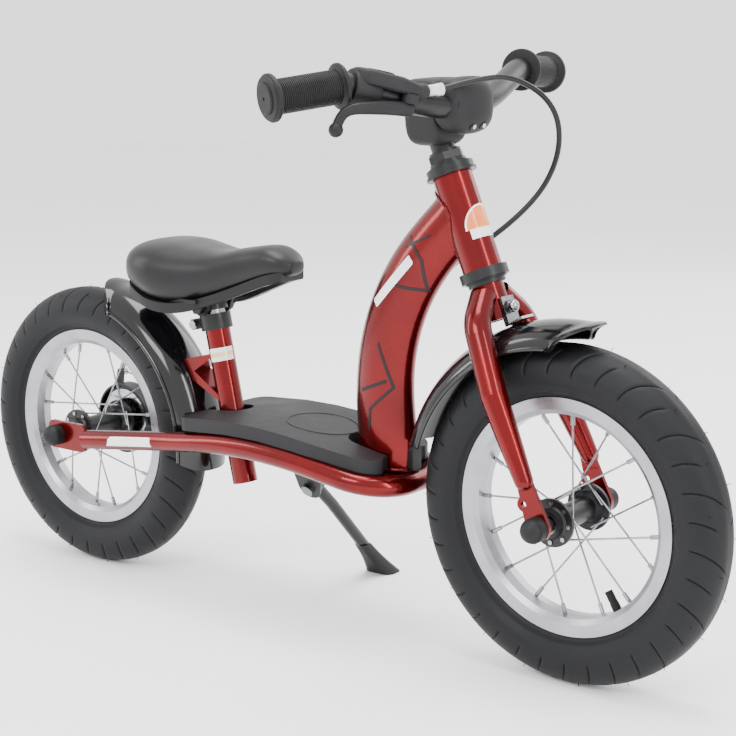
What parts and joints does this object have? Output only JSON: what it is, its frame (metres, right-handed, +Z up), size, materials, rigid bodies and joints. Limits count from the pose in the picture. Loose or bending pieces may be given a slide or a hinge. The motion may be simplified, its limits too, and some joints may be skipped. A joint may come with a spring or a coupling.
{
  "type": "balance bike",
  "caption": "Child's balance bike with a step-through steel frame, foot deck, spoked wheels, mudguards, band brake and kickstand.",
  "frame": {"origin": "on the ground, midway between the two axles and on the bike's centre plane", "axes": "+X forward along the bike, +Y to the rider's left, +Z up"},
  "size_m": [0.901, 0.379, 0.5519],
  "materials": {
    "red_paint": "glossy metallic lacquer",
    "deck_rubber": "matte moulded rubber",
    "gloss_black_plastic": "high gloss",
    "black_paint": "satin powder coat",
    "zinc_steel": "bright zinc",
    "drum_steel": "polished",
    "matte_plastic": "fine spark texture",
    "grip_rubber": "soft matte",
    "tyre_rubber": "matte with moulded grooves",
    "tube_rubber": "matte",
    "rim_silver": "satin anodised",
    "saddle_vinyl": "soft vinyl"
  },
  "bodies": {
    "frame": {"head_tube": "red_paint", "spine_tube": "red_paint", "base_loop_tube": "red_paint", "seat_tube": "red_paint", "rear_dropouts": "red_paint", "deck_plate": "red_paint", "deck_pad": "deck_rubber", "rear_mudguard": "gloss_black_plastic", "rear_mudguard_bracket": "red_paint", "frame_bolts": "zinc_steel", "seat_clamp": "black_paint", "headset_cups": "black_paint", "rear_axle_and_nuts": "zinc_steel", "rear_nut_caps": "matte_plastic", "brake_cover": "black_paint", "brake_band": "black_paint", "cable_guides": "matte_plastic", "brake_inner_wire": "zinc_steel", "brake_cable_run": "grip_rubber", "kickstand_bracket": "black_paint"},
    "rear_wheel": {"rear_tyre": "tyre_rubber", "rear_inner_tube": "tube_rubber", "rear_rim": "rim_silver", "rear_hub": "black_paint", "rear_spokes": "zinc_steel", "rear_hub_bearings": "zinc_steel", "brake_drum": "drum_steel"},
    "fork": {"steerer_tube": "red_paint", "fork_legs": "red_paint", "fork_dropouts": "red_paint", "front_mudguard": "gloss_black_plastic", "front_mudguard_bracket": "zinc_steel", "crown_bolt": "zinc_steel", "headset_races": "black_paint", "headset_bearings": "zinc_steel", "front_axle_and_nuts": "zinc_steel", "front_nut_caps": "matte_plastic"},
    "front_wheel": {"front_tyre": "tyre_rubber", "front_inner_tube": "tube_rubber", "front_rim": "rim_silver", "front_hub": "black_paint", "front_spokes": "zinc_steel", "front_hub_bearings": "zinc_steel"},
    "bars": {"stem": "black_paint", "handlebar": "black_paint", "grips": "grip_rubber", "bar_cover_front": "matte_plastic", "bar_cover_rear": "matte_plastic", "lever_housing": "matte_plastic", "bar_fasteners": "zinc_steel", "brake_cable_loop": "grip_rubber"},
    "lever": {"brake_lever": "matte_plastic"},
    "brake_arm_body": {"brake_arm": "black_paint", "cable_anchor_bolt": "zinc_steel"},
    "seat": {"seat_post": "zinc_steel", "saddle_clamp": "black_paint"},
    "saddle": {"saddle_base": "matte_plastic", "saddle_pad": "saddle_vinyl"},
    "kickstand": {"kickstand_leg": "black_paint", "kickstand_foot": "deck_rubber"}
  },
  "joints": [
    {"name": "steering", "type": "hinge", "parent": "frame", "child": "fork", "pos_m": [0.18901, 0, 0.39897], "axis": [-0.3746, 0, 0.9272], "range_deg": [-35, 38], "deforming": ["brake_cable_loop"]},
    {"name": "front_wheel_spin", "type": "hinge", "parent": "fork", "child": "front_wheel", "pos_m": [0.2985, -0.00028, 0.152], "axis": [0.0291, 0.9995, 0.0118], "continuous": true},
    {"name": "rear_wheel_spin", "type": "hinge", "parent": "frame", "child": "rear_wheel", "pos_m": [-0.2985, 0, 0.152], "axis": [0, 1, 0], "continuous": true},
    {"name": "stem_height", "type": "slide", "parent": "fork", "child": "bars", "axis": [-0.3746, 0, 0.9272], "range_m": [0, 0.025], "deforming": ["brake_cable_loop"]},
    {"name": "lever_pull", "type": "hinge", "parent": "bars", "child": "lever", "pos_m": [0.18021, -0.07409, 0.51009], "axis": [-0.1092, -0.2025, -0.9732], "range_deg": [0, 7], "stiffness_Nm_per_rad": 0.6, "springref_deg": -11.46, "deforming": ["brake_cable_loop"]},
    {"name": "brake_arm_pull", "type": "hinge", "parent": "frame", "child": "brake_arm_body", "pos_m": [-0.3225, 0.0524, 0.172], "axis": [0, 1, 0], "range_deg": [0, 6], "stiffness_Nm_per_rad": 0.3, "springref_deg": -11.46, "deforming": ["brake_inner_wire"]},
    {"name": "seat_height", "type": "slide", "parent": "frame", "child": "seat", "axis": [-0.209, 0, 0.9779], "range_m": [0, 0.04]},
    {"name": "saddle_tilt", "type": "hinge", "parent": "seat", "child": "saddle", "pos_m": [-0.12262, 0, 0.29997], "axis": [0, 1, 0], "range_deg": [-8, 8]},
    {"name": "kickstand_fold", "type": "hinge", "parent": "frame", "child": "kickstand", "pos_m": [-0.0195, 0.033, 0.124], "axis": [0, 0.866, 0.5], "range_deg": [0, 82]}
  ],
  "couplings": [
    {"joint": "brake_arm_pull", "follows": "lever_pull", "ratio": 0.85714}
  ]
}
